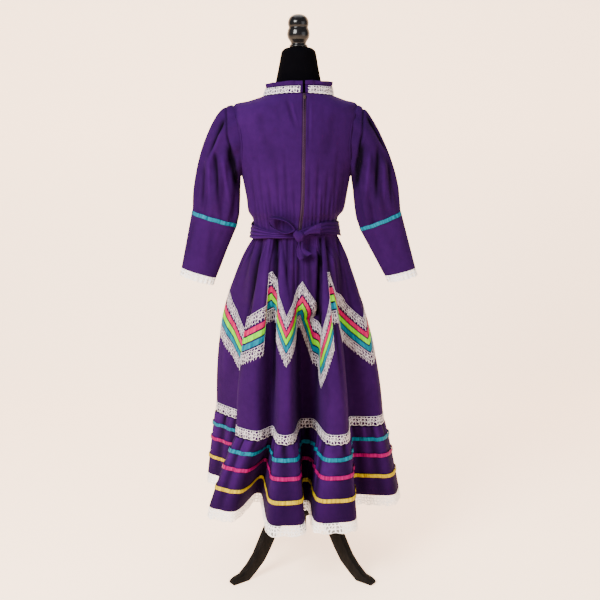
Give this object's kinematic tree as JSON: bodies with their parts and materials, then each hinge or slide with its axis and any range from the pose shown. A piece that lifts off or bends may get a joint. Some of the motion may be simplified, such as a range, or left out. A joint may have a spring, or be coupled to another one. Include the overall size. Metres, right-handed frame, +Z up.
{
  "type": "folklorico dress on limbless dress form stand",
  "caption": "Long-sleeved folklorico dress with ribbon and lace trims, a gathered ruffle hem and a back bow, worn by a black dress form on a tripod stand.",
  "frame": {"origin": "middle of the whole outline seen from above, at floor level", "axes": "+Z up; -Y is the garment's back with the zip and the bow; +X is the wearer's right, the right of the view from behind"},
  "size_m": [0.6794, 0.5468, 1.6025],
  "materials": {
    "purple_cloth": "plain matt woven cotton blend",
    "lace_white": "gathered net lace with a scalloped edge",
    "ribbon_turquoise": "satin ribbon",
    "ribbon_magenta": "satin ribbon",
    "ribbon_yellow": "satin ribbon",
    "ribbon_pink": "satin ribbon",
    "ribbon_lime": "satin ribbon",
    "zip_tape": "woven tape with a moulded coil",
    "zip_metal": "dull plated metal",
    "form_black": "black jersey drawn over a firm form",
    "finial_gloss": "gloss lacquer",
    "wood_black": "black stained wood, half gloss",
    "pole_metal": "black painted tube"
  },
  "bodies": {
    "root": {"belt_band": "purple_cloth", "belt_knot": "purple_cloth", "belt_loop_left": "purple_cloth", "belt_loop_right": "purple_cloth", "belt_tail": "purple_cloth", "bodice_back_left": "purple_cloth", "bodice_back_right": "purple_cloth", "bodice_front": "purple_cloth", "collar_frill": "purple_cloth", "collar_stand": "purple_cloth", "lower_sleeve_left": "purple_cloth", "lower_sleeve_right": "purple_cloth", "ruffle_back": "purple_cloth", "ruffle_front": "purple_cloth", "skirt_back_left": "purple_cloth", "skirt_back_right": "purple_cloth", "skirt_front": "purple_cloth", "upper_sleeve_left": "purple_cloth", "upper_sleeve_right": "purple_cloth", "collar_lace": "lace_white", "cuff_lace_left": "lace_white", "cuff_lace_right": "lace_white", "hem_lace": "lace_white", "skirt_lace": "lace_white", "zigzag_lace_lower": "lace_white", "zigzag_lace_upper": "lace_white", "ruffle_ribbon_turquoise": "ribbon_turquoise", "sleeve_ribbon_left": "ribbon_turquoise", "sleeve_ribbon_right": "ribbon_turquoise", "zigzag_ribbon_turquoise": "ribbon_turquoise", "ruffle_ribbon_magenta": "ribbon_magenta", "ruffle_ribbon_yellow": "ribbon_yellow", "zigzag_ribbon_pink": "ribbon_pink", "zigzag_ribbon_lime": "ribbon_lime", "zip_tape": "zip_tape", "zip_slider": "zip_metal", "form_torso": "form_black", "form_neck": "form_black", "form_finial": "finial_gloss", "form_hub": "wood_black", "form_leg_far": "wood_black", "form_leg_left": "wood_black", "form_leg_right": "wood_black", "form_pole": "pole_metal"}
  },
  "joints": []
}
